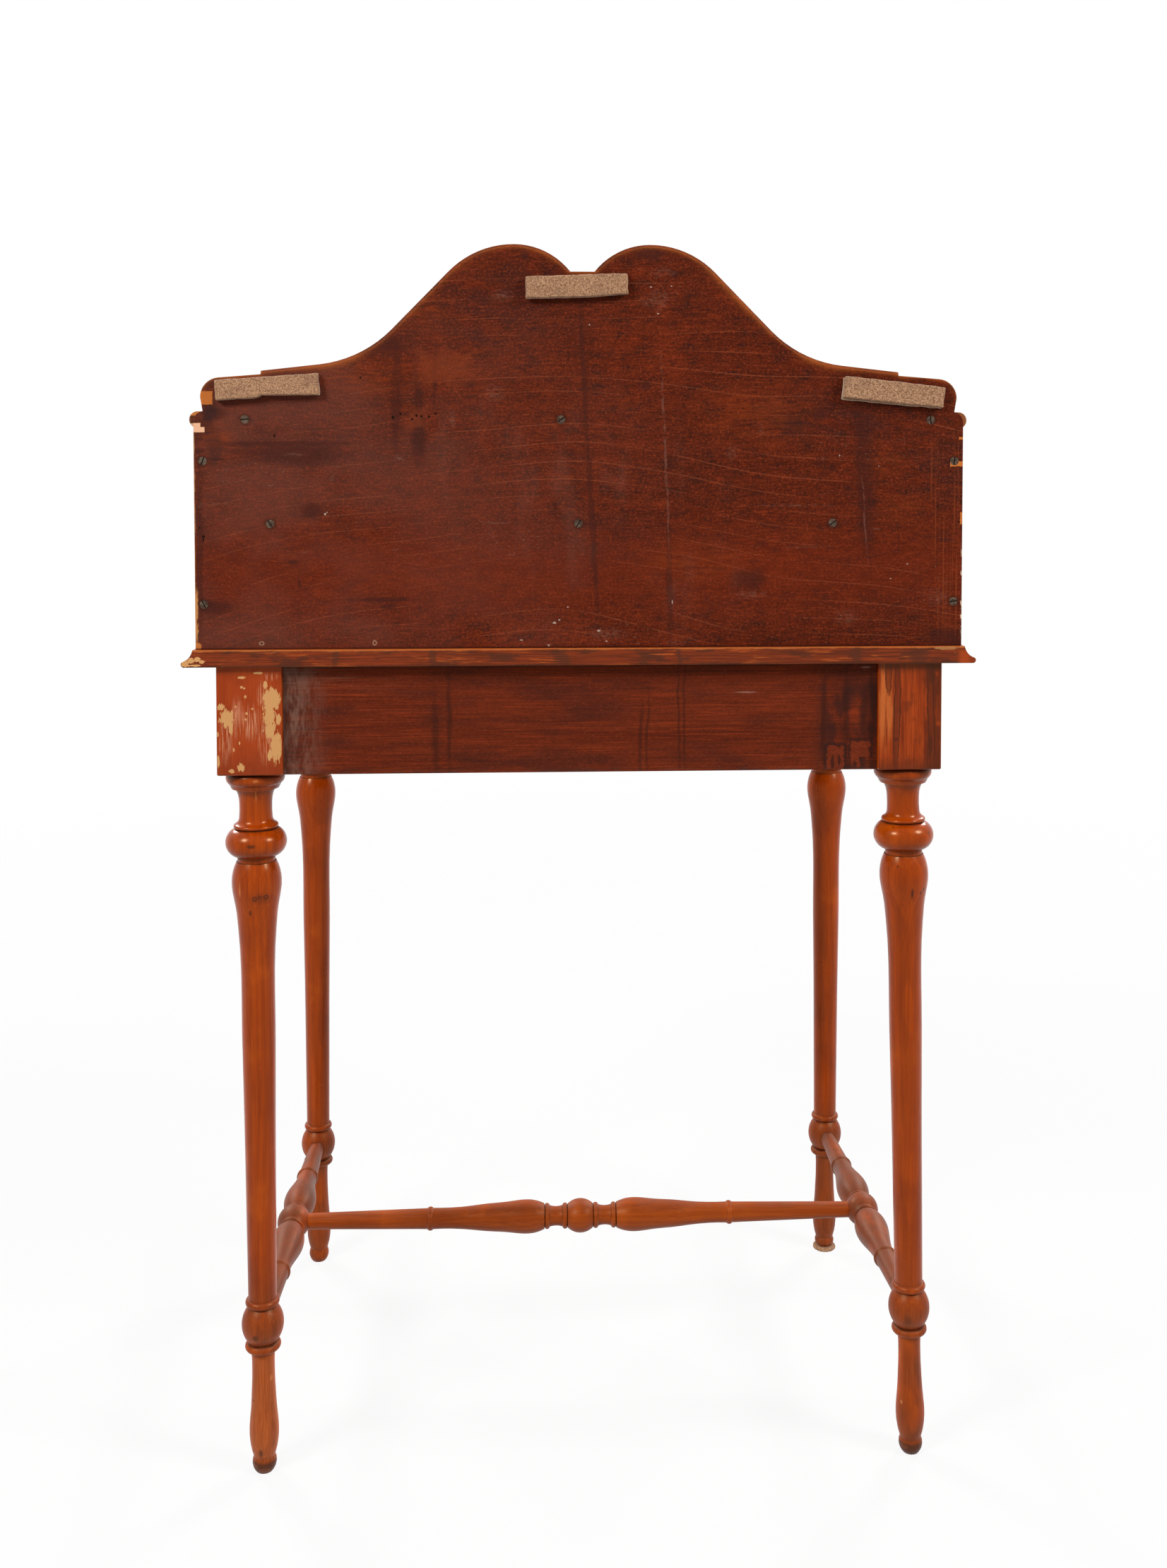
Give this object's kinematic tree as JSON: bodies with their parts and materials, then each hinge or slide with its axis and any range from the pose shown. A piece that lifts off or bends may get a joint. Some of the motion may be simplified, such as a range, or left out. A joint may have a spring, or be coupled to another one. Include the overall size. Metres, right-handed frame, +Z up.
{
  "type": "bonheur du jour",
  "caption": "Lady's writing desk on turned legs with an H stretcher, a frieze drawer, and a raised back cabinet of pigeonholes and small drawers under a double-humped back board.",
  "frame": {"origin": "on the floor, at the middle of the outer box", "axes": "+Z up, +Y from the sitter to the back, +X to the sitter's right"},
  "size_m": [0.698, 0.477, 1.103],
  "materials": {
    "stained_back_wood": "dark red-brown stain, scuffed and streaked",
    "polished_wood": "glossy orange-brown polish, worn at the edges",
    "pale_inner_wood": "bare pale wood, planed",
    "writing_leather": "dark brown skiver with a tooled line",
    "dull_steel": "dull, browned slotted screws",
    "wool_felt": "pressed mixed wool felt"
  },
  "bodies": {
    "desk": {"back_board": "stained_back_wood", "back_board_screws": "dull_steel", "cabinet_dowels": "pale_inner_wood", "cabinet_end_left": "polished_wood", "cabinet_end_right": "polished_wood", "cabinet_fixing_screws": "dull_steel", "cabinet_floor": "polished_wood", "cabinet_shelf": "polished_wood", "cabinet_top": "polished_wood", "cross_stretcher": "polished_wood", "desk_top": "polished_wood", "felt_foot_disc": "wool_felt", "felt_pad_centre": "wool_felt", "felt_pad_left": "wool_felt", "felt_pad_right": "wool_felt", "frieze_drawer_stops": "pale_inner_wood", "frieze_guide_left": "pale_inner_wood", "frieze_guide_right": "pale_inner_wood", "frieze_kicker_left": "pale_inner_wood", "frieze_kicker_right": "pale_inner_wood", "frieze_runner_left": "pale_inner_wood", "frieze_runner_right": "pale_inner_wood", "front_lower_rail": "polished_wood", "front_upper_rail": "polished_wood", "leg_front_left": "polished_wood", "leg_front_right": "polished_wood", "leg_rear_left": "polished_wood", "leg_rear_right": "polished_wood", "lower_divider_left": "polished_wood", "lower_divider_right": "polished_wood", "rear_rail": "stained_back_wood", "side_rail_left": "polished_wood", "side_rail_right": "polished_wood", "side_stretcher_left": "polished_wood", "side_stretcher_right": "polished_wood", "top_glue_blocks": "pale_inner_wood", "upper_divider_left": "polished_wood", "upper_divider_right": "polished_wood", "writing_leather": "writing_leather"},
    "frieze_drawer": {"frieze_drawer_back": "pale_inner_wood", "frieze_drawer_bottom": "pale_inner_wood", "frieze_drawer_front": "polished_wood", "frieze_drawer_knobs": "polished_wood", "frieze_drawer_left_side": "pale_inner_wood", "frieze_drawer_right_side": "pale_inner_wood"},
    "left_drawer": {"left_drawer_back": "pale_inner_wood", "left_drawer_bottom": "pale_inner_wood", "left_drawer_front": "polished_wood", "left_drawer_knobs": "polished_wood", "left_drawer_left_side": "pale_inner_wood", "left_drawer_right_side": "pale_inner_wood"},
    "right_drawer": {"right_drawer_back": "pale_inner_wood", "right_drawer_bottom": "pale_inner_wood", "right_drawer_front": "polished_wood", "right_drawer_knobs": "polished_wood", "right_drawer_left_side": "pale_inner_wood", "right_drawer_right_side": "pale_inner_wood"}
  },
  "joints": [
    {"name": "frieze_drawer_slide", "type": "slide", "parent": "desk", "child": "frieze_drawer", "axis": [0, -1, 0], "range_m": [0, 0.28]},
    {"name": "left_drawer_slide", "type": "slide", "parent": "desk", "child": "left_drawer", "axis": [0, -1, 0], "range_m": [0, 0.13]},
    {"name": "right_drawer_slide", "type": "slide", "parent": "desk", "child": "right_drawer", "axis": [0, -1, 0], "range_m": [0, 0.13]}
  ]
}
